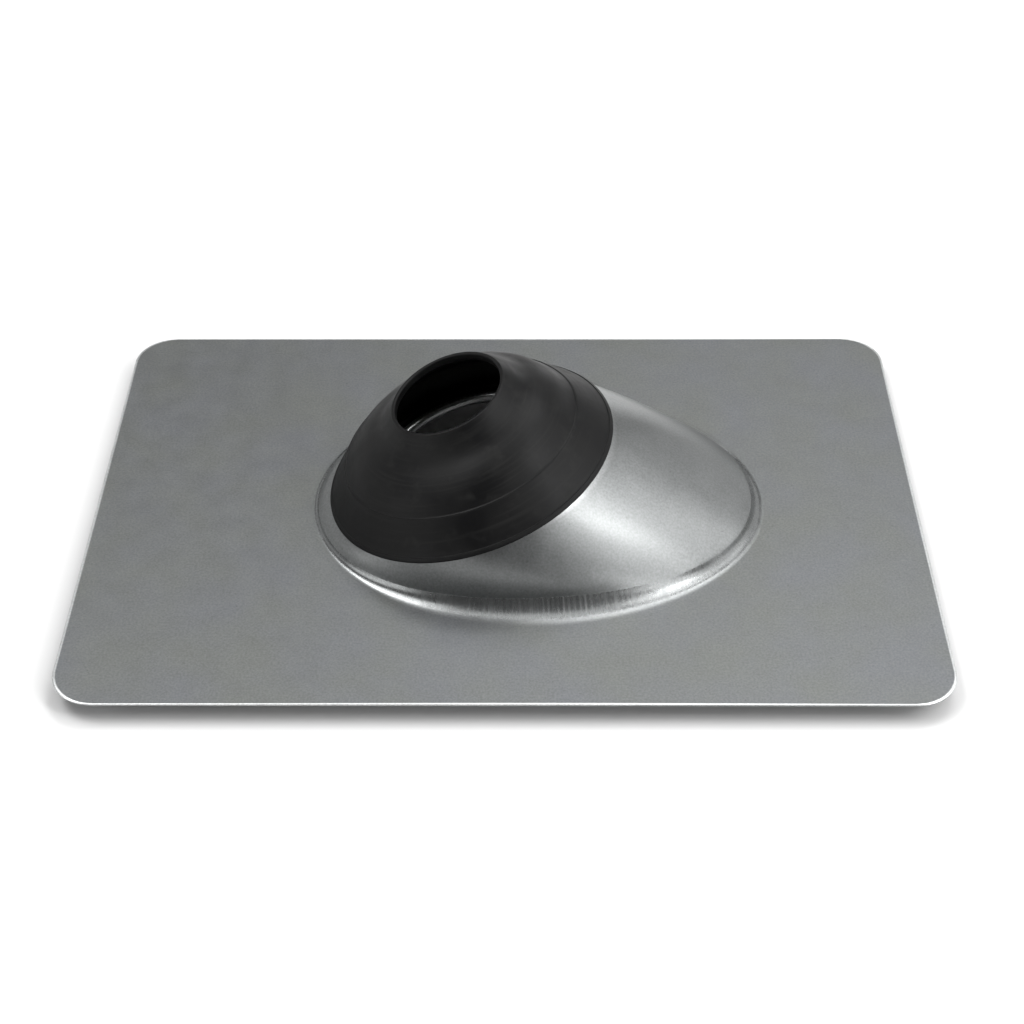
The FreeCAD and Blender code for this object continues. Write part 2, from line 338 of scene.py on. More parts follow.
def drawn(u, station):
    """Top side of the drawn sheet. Station 0 to 1 is the sweep, an arc that starts level at the
    foot. 1 to 2 is the step's straight flank, up to the crease. 2 to 3 is the wall to the rim,
    a straight line with a parabola's bulge, outwards."""
    low, top = foot(u), crease(u)
    rise = top[..., 2:] - low[..., 2:]
    inwards = (top - low) * [1, 1, 0]
    run = np.linalg.norm(inwards, axis=-1, keepdims=True)
    inwards = inwards / run
    slope = np.arctan2(rise, run * (1 - SWEEP_SHARE))
    radius = run * SWEEP_SHARE / np.tan(slope / 2)
    angle = slope * np.minimum(station, 1)
    arc = low + inwards * radius * np.sin(angle) + radius * (1 - np.cos(angle)) * [0, 0, 1]
    flank = arc + (top - arc) * np.clip(station - 1, 0, 1)
    rim = turned_grid(rim_start[None], u)
    wall = rim - top
    around = crease(u + NUDGE) - crease(u - NUDGE)
    out = np.cross(around, wall)
    out = out / np.linalg.norm(out, axis=-1, keepdims=True)
    share = np.clip(station - 2, 0, 1)
    crown = (WALL_CROWN + UP_SLOPE_CROWN * up_slope(u) ** 2)[..., None]
    bulge = crown * np.linalg.norm(wall, axis=-1, keepdims=True) * 4 * share * (1 - share)
    return np.where(station <= 2, flank, top + wall * share + out * bulge)


wall_lengths = np.linalg.norm(drawn(ENDS, 3.0) - drawn(ENDS, 2.0), axis=-1)[0]
print("wall from crease to rim at both ends, in mm:", np.round(wall_lengths / MM, 1))

# %% The softened crease
CREASE_BEFORE = 0.26  # how far the softening reaches down the flank, in stations
CREASE_AFTER = 0.04  # how far it reaches up the wall
CREASE_AFTER_UP_SLOPE = 0.3  # and how far at the up-slope end


def soft_drawn(u, station):
    """The same, with the crease softened: near it the line follows a curve that is pulled to the
    crease but starts on the flank and ends on the wall, further up where the step fades."""
    reach = CREASE_AFTER + (CREASE_AFTER_UP_SLOPE - CREASE_AFTER) * step_fade(u)[..., None]
    first, last = 2 - CREASE_BEFORE, 2 + reach
    t = np.clip((station - first) / (last - first), 0, 1)
    a, b, c = (drawn(u, s + 0 * station) for s in (first, 2.0, last))
    blend = (1 - t) ** 2 * a + 2 * t * (1 - t) * b + t ** 2 * c
    return np.where((station > first) & (station < last), blend, drawn(u, station))


softened = np.linalg.norm(soft_drawn(ENDS, 2.0) - drawn(ENDS, 2.0), axis=-1)[0]
print("the crease is cut back at both ends by, in mm:", np.round(softened / MM, 2))

# %% [markdown]
# Where the step's run is longest, at the form's two long sides, the sheet had too much metal for
# its new length, and the press folded it into fine upright wrinkles. They are a wave along the
# foot, shallower than a hair, that fades out towards the ends. A bump in the material would show
# them too, but their edge would stay straight, so they are moves of the points. The columns stand
# closer together there, several to each wrinkle.

# %% Random lines
chance = np.random.default_rng(7)


def uneven(u, waves, count=9):
    """A smooth random line round the loop: the mean of sines with random phases, whose counts lie
    near the given number of waves."""
    counts = np.round(waves * chance.uniform(0.6, 1.4, count))
    starts = chance.uniform(0, 2 * np.pi, count)
    return sum(np.sin(n * u + s) for n, s in zip(counts, starts)) / np.sqrt(count / 2)


# %% Draw wrinkles
WRINKLE_PITCH = 2.1 * MM
WRINKLE_DEPTH = 0.025 * MM
WRINKLE_SPREAD = np.radians(24.0)
PACE_WANDER = 0.9  # radians by which the wave runs ahead or behind
DEPTH_WANDER = 0.3  # share by which its depth changes
HELD_STATIONS = [0.15, 0.7, 1.7, 2.1]  # from the foot to just past the crease
HELD_DEPTHS = [0, 1, 0.8, 0]


def wrinkles(u, station):
    """Height of the wrinkles: a sine along the foot, whose pace and depth wander, times a bell
    round each side, times a rise and fall between the foot and the crease."""
    waves = 2 * np.pi * FOOT_HALF_LENGTH / WRINKLE_PITCH
    phase = waves * u + PACE_WANDER * uneven(u, waves / 8)
    from_side = np.arccos(np.abs(np.sin(u)))
    bell = np.exp(-(from_side / WRINKLE_SPREAD) ** 2)
    depth = WRINKLE_DEPTH * (1 + DEPTH_WANDER * uneven(u, waves / 4)) * bell
    held = np.interp(station, HELD_STATIONS, HELD_DEPTHS)
    return depth * np.sin(phase) * held


print("wrinkles: one every", WRINKLE_PITCH / MM, "mm,", WRINKLE_DEPTH / MM, "mm deep")

# %% Rows and columns of the sheet's top side
STEEL_COLUMNS = 672
CROWDING = 0.4  # how far the columns crowd towards the two long sides
FROM_EDGE = np.array([0.55, 1.2, 20.0]) * MM  # the flat's rows, measured from the outline
FROM_FOOT = 2.0 * MM  # and its last row, measured from the foot

t = np.linspace(0, 2 * np.pi, STEEL_COLUMNS, endpoint=False)
steel_angles = (t + CROWDING * np.sin(2 * t))[None, :]
crease_start, crease_end = 2 - CREASE_BEFORE, 2 + CREASE_AFTER
stations = np.concatenate([np.linspace(0, 1, 10), np.linspace(1, crease_start, 6)[1:],
                           np.linspace(crease_start, crease_end, 6)[1:],
                           np.linspace(crease_end, 3, 13)[1:-1]])
form = soft_drawn(steel_angles, stations[:, None, None])
outline = edge(steel_angles)
margin = outline - foot(steel_angles)
width = np.linalg.norm(margin, axis=-1, keepdims=True)
near_edge = outline - margin * FROM_EDGE[:, None, None] / width
near_foot = foot(steel_angles) + margin * FROM_FOOT / width
rim_rows = turned_grid(rim_section, steel_angles)
top_side = np.concatenate([near_edge, near_foot, form, rim_rows])
FLAT_ROWS = len(near_edge) + len(near_foot)
print("top side:", top_side.shape[0], "rows by", top_side.shape[1], "columns")

# %% Thickness and the sheared edge
CUT_SHARE = 0.28  # how far the cut's corners stand from its middle, as a share of the sheet


def normals(grid):
    """Cross product of the steps along rows and along columns, made one long."""
    along = np.gradient(grid, axis=0)
    across = np.roll(grid, -1, axis=1) - np.roll(grid, 1, axis=1)
    n = np.cross(across, along)
    return n / np.linalg.norm(n, axis=-1, keepdims=True)


up = normals(top_side)
up[:FLAT_ROWS + 1] = [0, 0, 1]
rise = np.zeros(top_side.shape[:2] + (1,))
rise[FLAT_ROWS:FLAT_ROWS + len(stations), :, 0] = wrinkles(steel_angles, stations[:, None])
top_side = top_side + up * rise
underside = top_side - up * SHEET
outer = outline[0] - [0, 0, SHEET / 2]
corner = np.array([0, 0, SHEET * CUT_SHARE])
cut = np.stack([outer - corner, outer, outer + corner])
steel = ring_mesh("steel_flashing", np.concatenate([cut, top_side, underside[::-1]]))
print("sheet thickness:", round(SHEET / MM, 2), "mm")

# %% [markdown]
# The finish of the steel depends on what the press did to each part of it. Painting that by hand is one
# way. Here every row of the grid went through the same thing, so one number per row is enough, and it
# is kept on the mesh as an attribute that the material reads. Two of these numbers also paint light: a
# painted highlight along the sheet's edge and on the rolled rim, and a painted shadow under the edge.

# %% What each row went through
FOOT_STATIONS = [0, 0.3, 1.7, 2.2]  # the die polished the sheet between the middle two
# The rolled rim also gets half of the cut edge's painted highlight, which lightens the steel just under
# the collar's edge.
ROLLED_BURNISH_AND_HIGHLIGHT = 0.5  # the rolled rim is half as burnished as the cut edge


def rows_of(flat, sheared, form_rows, rolled):
    """One number per row: the sheared edge's rows, the flat's, the form's and the rolled rim's on
    the top side, and the same again in reverse beneath."""
    top_rows = np.concatenate([flat, form_rows, np.full(len(rim_rows), rolled)])
    return np.repeat(np.concatenate([sheared, top_rows, top_rows[::-1]]), STEEL_COLUMNS)


plain_flat, plain_cut, plain_form = np.zeros(FLAT_ROWS), np.zeros(len(cut)), np.zeros(len(stations))
# The burnished rows are painted bright: partly the shear's real burnish, partly a painted highlight
# along the cut's upper part and the flat's outermost row.
burnished_highlight_flat, burnished_highlight_cut = np.array([1.0, 0.0, 0.0, 0.0]), np.array([0.0, 1.0, 1.0])
# The cut's lower corner is the shear's torn zone of duller steel, and it is also painted near black: a
# painted shadow for the dark line of shade under the sheet's edge.
torn_shadow_cut = np.array([1.0, 0.0, 0.0])
polished = np.interp(stations, FOOT_STATIONS, [0, 1, 1, 0])
shares = {
    "drawn": rows_of(plain_flat, plain_cut, np.clip(3 * stations, 0, 1), 1.0),
    "foot": rows_of(plain_flat, plain_cut, polished, 0.0),
    "burnished_and_highlight": rows_of(burnished_highlight_flat, burnished_highlight_cut, plain_form, ROLLED_BURNISH_AND_HIGHLIGHT),
    "torn_and_painted_shadow": rows_of(plain_flat, torn_shadow_cut, plain_form, 0.0),
}
# The last row is the underside's outermost. It gets the painted shadow of the torn rows, not the
# painted highlight of the burnished row that the top side's outermost row gets.
shares["burnished_and_highlight"][-STEEL_COLUMNS:] = 0
shares["torn_and_painted_shadow"][-STEEL_COLUMNS:] = 1
for name, values in shares.items():
    attribute = steel.data.attributes.new(name, "FLOAT", "POINT")
    attribute.data.foreach_set("value", values.astype(np.float32))
    print(name, "covers", round(100 * float(values.mean()), 1), "% of the points")

# %% [markdown]
# ## Rubber collar
# The collar comes out of its mould as one piece: a beaded skirt that covers the steel's ridge,
# a small ledge, a crowned dome, and a neck that narrows to the mouth. Inside, a leg goes down
# into the rim and a flange lies on the steel's seat, under the curl. A Screw modifier could turn
# the section, but the rubber is bent out of round afterwards, so it is a grid as well.

# %% The collar's sizes
BEAD_HEIGHT = 1.8 * MM
BEAD = 0.25 * MM
LEDGE = 0.5 * MM
DOME_TOP = np.array([28.8, 25.2]) * MM  # radius and height
DOME_CROWN = 1.0 * MM
MOUTH_RADIUS = 21.0 * MM
MOUTH_HEIGHT = 32.2 * MM
MOUTH_LAND = 3.0 * MM
LIP_WALL = 1.3 * MM
COLLAR_WALL = 1.8 * MM

SKIRT_EDGE_ROUND = 0.5 * MM
BEAD_ROUND = 1.0 * MM
LEDGE_ROUND = 1.9 * MM
NECK_ROUND = 20.0 * MM
LIP_ROUND_OUTSIDE = 0.5 * MM
LIP_ROUND_INSIDE = 0.6 * MM
LAND_ROUND = 0.5 * MM
LEG_ROUND = 1.2 * MM
FLANGE_ROUND = 0.4 * MM
print("mouth:", round(2 * MOUTH_RADIUS / MM, 1), "mm across")

# %% The collar's section
COLLAR_CHORDS = 6
LONGEST_STEP = 1.4 * MM

groove_round = BEND + SHEET + SEAT_GAP
groove_top = RIDGE_HEIGHT + SEAT_GAP
leg = ridge_inner - SEAT_GAP
leg_inside = leg - COLLAR_WALL
flange_end = THROAT_RADIUS + CURL_WIDTH / 2
flange_top = SEAT_HEIGHT + FLANGE
inside_line = moved(skirt_line, SKIRT_WALL)
bead = on_line(skirt_line, height=BEAD_HEIGHT)
bead_root = moved([(*bead, 0.0), skirt_line[1]], BEAD)[0]
dome_foot = np.array([SKIRT[1][0] - LEDGE, SKIRT[1][1]])
chord = DOME_TOP - dome_foot
outwards = np.array([chord[1], -chord[0]]) / np.linalg.norm(chord)
shoulder = (dome_foot + DOME_TOP) / 2 + outwards * 2 * DOME_CROWN
# With this radius the shoulder's arc takes up the nearer half of each side.
shoulder_round = chord @ chord / (16 * DOME_CROWN)
dome_path = [(*dome_foot, LEDGE_ROUND), (*shoulder, shoulder_round), (*DOME_TOP, NECK_ROUND),
             (MOUTH_RADIUS + LIP_WALL, MOUTH_HEIGHT, LIP_ROUND_OUTSIDE)]
lining = moved(dome_path, COLLAR_WALL)
land_end = MOUTH_HEIGHT - MOUTH_LAND
outside_path = [(*SKIRT[0], SKIRT_EDGE_ROUND), (*bead, BEAD_ROUND), (*bead_root[:2], BEAD_ROUND),
                (*SKIRT[1], LEDGE_ROUND), *dome_path]
collar_path = [
    *outside_path, (MOUTH_RADIUS, MOUTH_HEIGHT, LIP_ROUND_INSIDE), (MOUTH_RADIUS, land_end, LAND_ROUND),
    (*on_line(lining[2:], height=land_end), LAND_ROUND), lining[2], lining[1],
    (*on_line(lining[:2], radius=leg_inside), LEG_ROUND), (leg_inside, flange_top, LEG_ROUND),
    (flange_end, flange_top, FLANGE_ROUND), (flange_end, SEAT_HEIGHT, FLANGE_ROUND),
    (leg, SEAT_HEIGHT, BEND + SHEET), (leg, groove_top, groove_round),
    (*on_line(inside_line, height=groove_top), groove_round), (*on_line(inside_line, height=0.0), 0.0)]
collar_section = rounded(collar_path, closed=True, chords=COLLAR_CHORDS, longest=LONGEST_STEP)
outside_line = rounded(outside_path, closed=False, chords=COLLAR_CHORDS, longest=LONGEST_STEP)
print("collar section:", len(collar_section), "points,", len(outside_line), "of them outside")

# %% [markdown]
# Soft rubber is never quite true. The skirt is stretched a little wider towards the front, the
# neck leans further than the skirt does, and the outside is uneven by less than a tenth of a
# millimetre, which is what bends the highlights. All of these are smooth moves of the finished
# grid. A lattice could bend it too, but these moves are formulas that can be measured.

# %% How far the outside stands out
SKIRT_STRETCH = 0.7 * MM
STRETCH_SWING = 0.6  # how much the stretch differs from side to side
STRETCH_SIDE = np.radians(-60.0)
UNEVEN = 0.07 * MM
SKIRT_FADE = 4.0 * MM
MOUTH_FADE = 3.0 * MM
LONG_WAVES, SHORT_WAVES = 4, 9  # round the collar
SAG_HEIGHT = 5.0 * MM  # the height over which the short waves change


def outside_moves(r, h, angles):
    """How far the outside stands out: a stretch of the skirt that is widest at the front right
    and ends at the ledge, and two random lines that fade at the skirt's edge and at the mouth."""
    down = np.clip((SKIRT[1][1] - h) / SKIRT[1][1], 0, 1)
    stretch = SKIRT_STRETCH * down * (1 + STRETCH_SWING * np.cos(angles - STRETCH_SIDE))
    fade = np.clip(h / SKIRT_FADE, 0, 1) * np.clip((MOUTH_HEIGHT - h) / MOUTH_FADE, 0, 1)
    sag = uneven(angles, LONG_WAVES) + uneven(angles, SHORT_WAVES) * np.cos(h / SAG_HEIGHT)
    return stretch + UNEVEN * sag * fade


# %% The collar as one grid
COLLAR_COLUMNS = 360
NECK_LEAN = np.radians(3.6)
NECK_TILT = np.radians(2.4)
NECK_SHIFT = 1.6 * MM


def soft_ring(section, angles):
    """The section carried round, moved out, then leant: above the ledge each ring turns about
    the Y and the X direction at the mouth's height, and moves along X, by a share that grows
    smoothly from the ledge to the mouth."""
    r = section[:, :1] + 0 * angles
    h = section[:, 1:] + 0 * angles
    outside = len(outside_line)
    r[:outside] += outside_moves(r, h, angles)[:outside]
    share = np.clip((h - SKIRT[1][1]) / (MOUTH_HEIGHT - SKIRT[1][1]), 0, 1)
    share = share * share * (3 - 2 * share)
    x, y, h = r * np.cos(angles), r * np.sin(angles), h - MOUTH_HEIGHT
    for_lean, for_tilt = NECK_LEAN * share, NECK_TILT * share
    x, h = x * np.cos(for_lean) - h * np.sin(for_lean), x * np.sin(for_lean) + h * np.cos(for_lean)
    y, h = y * np.cos(for_tilt) - h * np.sin(for_tilt), y * np.sin(for_tilt) + h * np.cos(for_tilt)
    return in_place(np.stack([x + NECK_SHIFT * share, y, h + MOUTH_HEIGHT], axis=-1))


collar_angles = np.linspace(0, 2 * np.pi, COLLAR_COLUMNS, endpoint=False)[None, :]
collar = ring_mesh("rubber_collar", soft_ring(collar_section, collar_angles))

# %% Faces point outwards
def volume(piece):
    """Six times the volume is the sum of each triangle's corner times the cross of the others."""
    mesh = piece.data
    mesh.calc_loop_triangles()
    points = np.empty(len(mesh.vertices) * 3, np.float32)
    mesh.vertices.foreach_get("co", points)
    corners = np.empty(len(mesh.loop_triangles) * 3, np.int32)
    mesh.loop_triangles.foreach_get("vertices", corners)
    a, b, c = points.reshape(-1, 3).astype(float)[corners.reshape(-1, 3)].transpose(1, 0, 2)
    return (a * np.cross(b, c)).sum() / 6


for piece in (steel, collar):
    if volume(piece) < 0:
        piece.data.flip_normals()
    print(piece.name, "holds", round(volume(piece) * 1e6, 2), "cubic centimetres")

# %% [markdown]
# ## Materials
# One function adds a node with its settings and its inputs. Another turns the sRGB hex colours
# that a colour picker shows into the linear numbers that light is worked out in. Pictures of zinc
# and rubber could be wrapped round the pieces, but noise needs no wrapping, never repeats and has
# a scale that is a real size.

# %% Colour and nodes
def linear(hex_colour):
    """sRGB to linear: the low end is a straight line and the rest a power of 2.4."""
    srgb = np.array([int(hex_colour[i:i + 2], 16) for i in (1, 3, 5)]) / 255
    values = np.where(srgb <= 0.04045, srgb / 12.92, ((srgb + 0.055) / 1.055) ** 2.4)
    return (*values, 1.0)


def add(tree, kind, inputs=None, **settings):
    """A node with its settings. Each input is a number, a colour, one output of another node, or
    another node, whose first output in use is taken."""
    node = tree.nodes.new(kind)
    for name, value in settings.items():
        setattr(node, name, value)
    for socket, value in (inputs or {}).items():
        if isinstance(value, bpy.types.Node):
            value = next(output for output in value.outputs if output.enabled)
        if isinstance(value, bpy.types.NodeSocket):
            tree.links.new(value, node.inputs[socket])
        else:
            node.inputs[socket].default_value = value
    return node


def new_material(name):
    """A material, its nodes and its shader."""
    material = bpy.data.materials.new(name)
    material.use_nodes = True
    tree = material.node_tree
    return material, tree, tree.nodes["Principled BSDF"]


# Names of the nodes used most, to keep the lines short.
NOISE, RANGE, MIX, MATH = "ShaderNodeTexNoise", "ShaderNodeMapRange", "ShaderNodeMix", "ShaderNodeMath"
ATTRIBUTE, BUMP, VECTOR_MATH = "ShaderNodeAttribute", "ShaderNodeBump", "ShaderNodeVectorMath"
PLACE, UV_MAP = "ShaderNodeTexCoord", "ShaderNodeUVMap"
NOISE_LOW, NOISE_HIGH = 0.3, 0.7  # nearly all of a noise lies between these two
print("mid grey #808080 is", round(float(linear("#808080")[0]), 3), "in linear light")

# %% [markdown]
# ## Galvanised steel
# The sheet was dipped in molten zinc, which froze to a skin of fine grey crystals and then dulled in
# the air. So the flat has cloudy patches, a little bluer here and greener there, a fine grain and a few
# dark specks. Where the die rubbed the zinc the skin is brighter and smoother, most of all at the foot,
# with faint streaks along the draw. The rim was rolled over a tool, which burnished it, and its lighter
# colour is also a painted highlight on the band of steel just under the collar. The shear burnished the
# upper part of the cut edge and tore the lower part. The upper part and the flat's outermost row are
# painted bright, partly for the burnish and partly as a painted highlight along the edge; the lower
# part and the underside's outermost row are painted near black, a painted shadow for the shade under
# the edge. Four attributes say which is where, and the streaks follow the UV map.

# %% Galvanised steel: its patterns
PATCH_SIZE = 34.0 * MM
CLOUD_SIZE = 9.0 * MM
SPECK_SIZE = 1.3 * MM
# Real zinc crystals here are about 0.1 mm wide, too fine to show, so the grain is drawn coarser.
GRAIN_SIZE = 0.8 * MM
STREAKS_ROUND = 300.0  # the foot is 49 cm round, so they lie about 1.6 mm apart
STREAKS_ALONG = 4.0  # each runs on for a quarter of the rows

material, tree, shader = new_material("galvanised_steel")
place = add(tree, PLACE).outputs["Object"]
drawn_share = add(tree, ATTRIBUTE, attribute_name="drawn").outputs["Fac"]
foot_share = add(tree, ATTRIBUTE, attribute_name="foot").outputs["Fac"]
burnished_highlight_share = add(tree, ATTRIBUTE, attribute_name="burnished_and_highlight").outputs["Fac"]
torn_shadow_share = add(tree, ATTRIBUTE, attribute_name="torn_and_painted_shadow").outputs["Fac"]
patches = add(tree, NOISE, {"Vector": place, "Scale": 1 / PATCH_SIZE, "Detail": 3.0})
cloud = add(tree, NOISE, {"Vector": place, "Scale": 1 / CLOUD_SIZE, "Detail": 4.0})
grain = add(tree, NOISE, {"Vector": place, "Scale": 1 / GRAIN_SIZE, "Detail": 2.0})
specks = add(tree, NOISE, {"Vector": place, "Scale": 1 / SPECK_SIZE, "Detail": 1.0})
around = add(tree, UV_MAP, uv_map="UVMap")
stretched = add(tree, VECTOR_MATH, {0: around, 1: (STREAKS_ROUND, STREAKS_ALONG, 1.0)},
                operation="MULTIPLY")
streaks = add(tree, NOISE, {"Vector": stretched, "Scale": 1.0, "Detail": 1.0})
print("patterns:", len(tree.nodes), "nodes")

# %% Galvanised steel: colour
ZINC_BLUE = "#6E7072"
ZINC_GREEN = "#6E706E"
ZINC_RUBBED = "#848686"
# BURNISHED_HIGHLIGHT is partly the real burnish and partly a painted highlight along the sheet's edge
# and the rolled rim.
BURNISHED_HIGHLIGHT = "#D8DADA"
# TORN_PAINTED_SHADOW is painted shadow: near black for the shade under the sheet's edge, darker than
# torn steel itself.
TORN_PAINTED_SHADOW = "#1C1D1E"
SPECK = "#434545"
PATCH_BLUE, PATCH_GREEN = 0.35, 0.65
SPECK_START, SPECK_FULL, SPECK_STRENGTH = 0.72, 0.80, 0.25
CLOUD_CONTRAST = 0.04
GRAIN_CONTRAST = 0.12

share = add(tree, RANGE, {"Value": patches, "From Min": PATCH_BLUE, "From Max": PATCH_GREEN})
zinc = add(tree, MIX, {"Factor": share, "A": linear(ZINC_BLUE), "B": linear(ZINC_GREEN)},
           data_type="RGBA")
zinc = add(tree, MIX, {"Factor": drawn_share, "A": zinc, "B": linear(ZINC_RUBBED)}, data_type="RGBA")
share = add(tree, RANGE, {"Value": specks, "From Min": SPECK_START, "From Max": SPECK_FULL,
                          "To Max": SPECK_STRENGTH})
zinc = add(tree, MIX, {"Factor": share, "A": zinc, "B": linear(SPECK)}, data_type="RGBA")
# These two paint light into the cut edge: a painted highlight on its burnished rows and a painted
# shadow on its torn rows.
for cut_share, colour in ((burnished_highlight_share, BURNISHED_HIGHLIGHT), (torn_shadow_share, TORN_PAINTED_SHADOW)):
    zinc = add(tree, MIX, {"Factor": cut_share, "A": zinc, "B": linear(colour)}, data_type="RGBA")
for pattern, contrast in ((cloud, CLOUD_CONTRAST), (grain, GRAIN_CONTRAST)):
    shade = add(tree, RANGE, {"Value": pattern, "From Min": NOISE_LOW, "From Max": NOISE_HIGH,
                              "To Min": 1 - contrast, "To Max": 1 + contrast})
    zinc = add(tree, MIX, {"Factor": 1.0, "A": zinc, "B": shade}, data_type="RGBA",
               blend_type="MULTIPLY")
tree.links.new(zinc.outputs["Result"], shader.inputs["Base Color"])
print("colour:", len(tree.nodes), "nodes")

# %% Galvanised steel: gloss
FLAT_ROUGHNESS = 0.52
DRAWN_ROUGHNESS = 0.36
POLISH_MOST, POLISH_LEAST = -0.12, -0.06  # change of roughness at the foot, in streaks
CLOUD_ROUGHNESS = 0.02
BURNISH = -0.15  # change of roughness where the zinc is burnished
METALLIC = 0.85  # zinc is a metal, under a thin skin of oxide that isn't
GRAIN_STRENGTH, GRAIN_DEPTH = 0.5, 0.01 * MM

rough = add(tree, RANGE, {"Value": drawn_share, "To Min": FLAT_ROUGHNESS, "To Max": DRAWN_ROUGHNESS})
streaky = add(tree, RANGE, {"Value": streaks, "From Min": NOISE_LOW, "From Max": NOISE_HIGH,
                            "To Min": POLISH_MOST, "To Max": POLISH_LEAST})
polish = add(tree, MATH, {0: streaky, 1: foot_share}, operation="MULTIPLY")
cloudy = add(tree, RANGE, {"Value": cloud, "From Min": NOISE_LOW, "From Max": NOISE_HIGH,
                           "To Min": -CLOUD_ROUGHNESS, "To Max": CLOUD_ROUGHNESS})
rubbed = add(tree, MATH, {0: burnished_highlight_share, 1: BURNISH}, operation="MULTIPLY")
for part in (polish, cloudy, rubbed):
    rough = add(tree, MATH, {0: rough, 1: part}, operation="ADD")
tree.links.new(rough.outputs["Value"], shader.inputs["Roughness"])
shader.inputs["Metallic"].default_value = METALLIC
bump = add(tree, BUMP, {"Height": grain, "Strength": GRAIN_STRENGTH, "Distance": GRAIN_DEPTH})
tree.links.new(bump.outputs["Normal"], shader.inputs["Normal"])
steel.data.materials.append(material)
print(material.name, "has", len(tree.nodes), "nodes")

# %% [markdown]
# ## Rubber
# The collar is EPDM, a carbon-black rubber pressed in a steel mould. It comes out satin black,
# and handling leaves a dusty grey bloom in soft patches. The mould was turned on a lathe, which
# leaves faint marks round the collar. Rubber's gloss is weak, so the colour changes little and
# the roughness does the work, over a fine grain from the mould's face.

# %% EPDM rubber: its patterns
HANDLED_SIZE = 14.0 * MM
HANDLED_START, HANDLED_FULL = 0.38, 0.65
SMUDGE_SIZE = 5.0 * MM
SMUDGE_START, SMUDGE_FULL, SMUDGE_STRENGTH = 0.55, 0.75, 0.55
MOULD_GRAIN_SIZE = 0.5 * MM
# A lathe's real marks are about 0.1 mm apart, too fine to show. These are drawn a little under
# 1 mm apart across the section, and each runs on for a seventh of the way round.
MARKS_ROUND, MARKS_ALONG = 7.0, 150.0
MARKS_START, MARKS_FULL, MARKS_STRENGTH = 0.52, 0.78, 0.6

material, tree, shader = new_material("moulded_rubber")
place = add(tree, PLACE).outputs["Object"]
handled = add(tree, NOISE, {"Vector": place, "Scale": 1 / HANDLED_SIZE, "Detail": 4.0})
handled = add(tree, RANGE, {"Value": handled, "From Min": HANDLED_START, "From Max": HANDLED_FULL})
smudges = add(tree, NOISE, {"Vector": place, "Scale": 1 / SMUDGE_SIZE, "Detail": 5.0})
smudges = add(tree, RANGE, {"Value": smudges, "From Min": SMUDGE_START, "From Max": SMUDGE_FULL,
                            "To Max": SMUDGE_STRENGTH})
around = add(tree, UV_MAP, uv_map="UVMap")
turned = add(tree, VECTOR_MATH, {0: around, 1: (MARKS_ROUND, MARKS_ALONG, 1.0)}, operation="MULTIPLY")
marks = add(tree, NOISE, {"Vector": turned, "Scale": 1.0, "Detail": 3.0})
marks = add(tree, RANGE, {"Value": marks, "From Min": MARKS_START, "From Max": MARKS_FULL,
                          "To Max": MARKS_STRENGTH})
smudges = add(tree, MATH, {0: smudges, 1: marks}, operation="MAXIMUM")
grain = add(tree, NOISE, {"Vector": place, "Scale": 1 / MOULD_GRAIN_SIZE, "Detail": 2.0})
print("patterns:", len(tree.nodes), "nodes")

# %% EPDM rubber: colour and gloss
RUBBER = "#0A0A0B"
RUBBER_WORN = "#101010"
BLOOM = "#1F1F1E"
NEW_ROUGHNESS = 0.44
WORN_ROUGHNESS = 0.55
DUST_ROUGHNESS = 0.12
RUBBER_IOR = 1.52
RUBBER_SPECULAR = 0.16  # under the default of 0.5, because the dusty skin reflects less
MOULD_STRENGTH, MOULD_DEPTH = 0.25, 0.02 * MM

black = add(tree, MIX, {"Factor": handled, "A": linear(RUBBER), "B": linear(RUBBER_WORN)},
            data_type="RGBA")
black = add(tree, MIX, {"Factor": smudges, "A": black, "B": linear(BLOOM)}, data_type="RGBA")
tree.links.new(black.outputs["Result"], shader.inputs["Base Color"])
rough = add(tree, RANGE, {"Value": handled, "To Min": NEW_ROUGHNESS, "To Max": WORN_ROUGHNESS})
dusty = add(tree, MATH, {0: smudges, 1: DUST_ROUGHNESS}, operation="MULTIPLY")
rough = add(tree, MATH, {0: rough, 1: dusty}, operation="ADD")
tree.links.new(rough.outputs["Value"], shader.inputs["Roughness"])
shader.inputs["IOR"].default_value = RUBBER_IOR
shader.inputs["Specular IOR Level"].default_value = RUBBER_SPECULAR
bump = add(tree, BUMP, {"Height": grain, "Strength": MOULD_STRENGTH, "Distance": MOULD_DEPTH})
tree.links.new(bump.outputs["Normal"], shader.inputs["Normal"])
collar.data.materials.append(material)
print(material.name, "has", len(tree.nodes), "nodes")

# %% [markdown]
# ## Pieces and the frame
# Each finished piece takes the place of its CAD solid. Nothing on the boot moves, so both ride on
# the part's one body.

# %% Pieces and the frame
for piece, node, slot in ((steel, "flashing_base", "galvanised_steel"),
                          (collar, "pipe_collar", "black_rubber")):
    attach(piece, "root")
    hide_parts(node)
    print(piece.name, "stands for", node)

# %% [markdown]
# ## Stage
# A pale floor lies a little under the sheet, which leaves the dark line of its shadow in front.

# %% Floor
FLOOR_DROP = 7.0 * MM
FLOOR_SIZE = 8.0
FLOOR_COLOUR = "#DFDFDF"
FLOOR_ROUGHNESS = 0.9

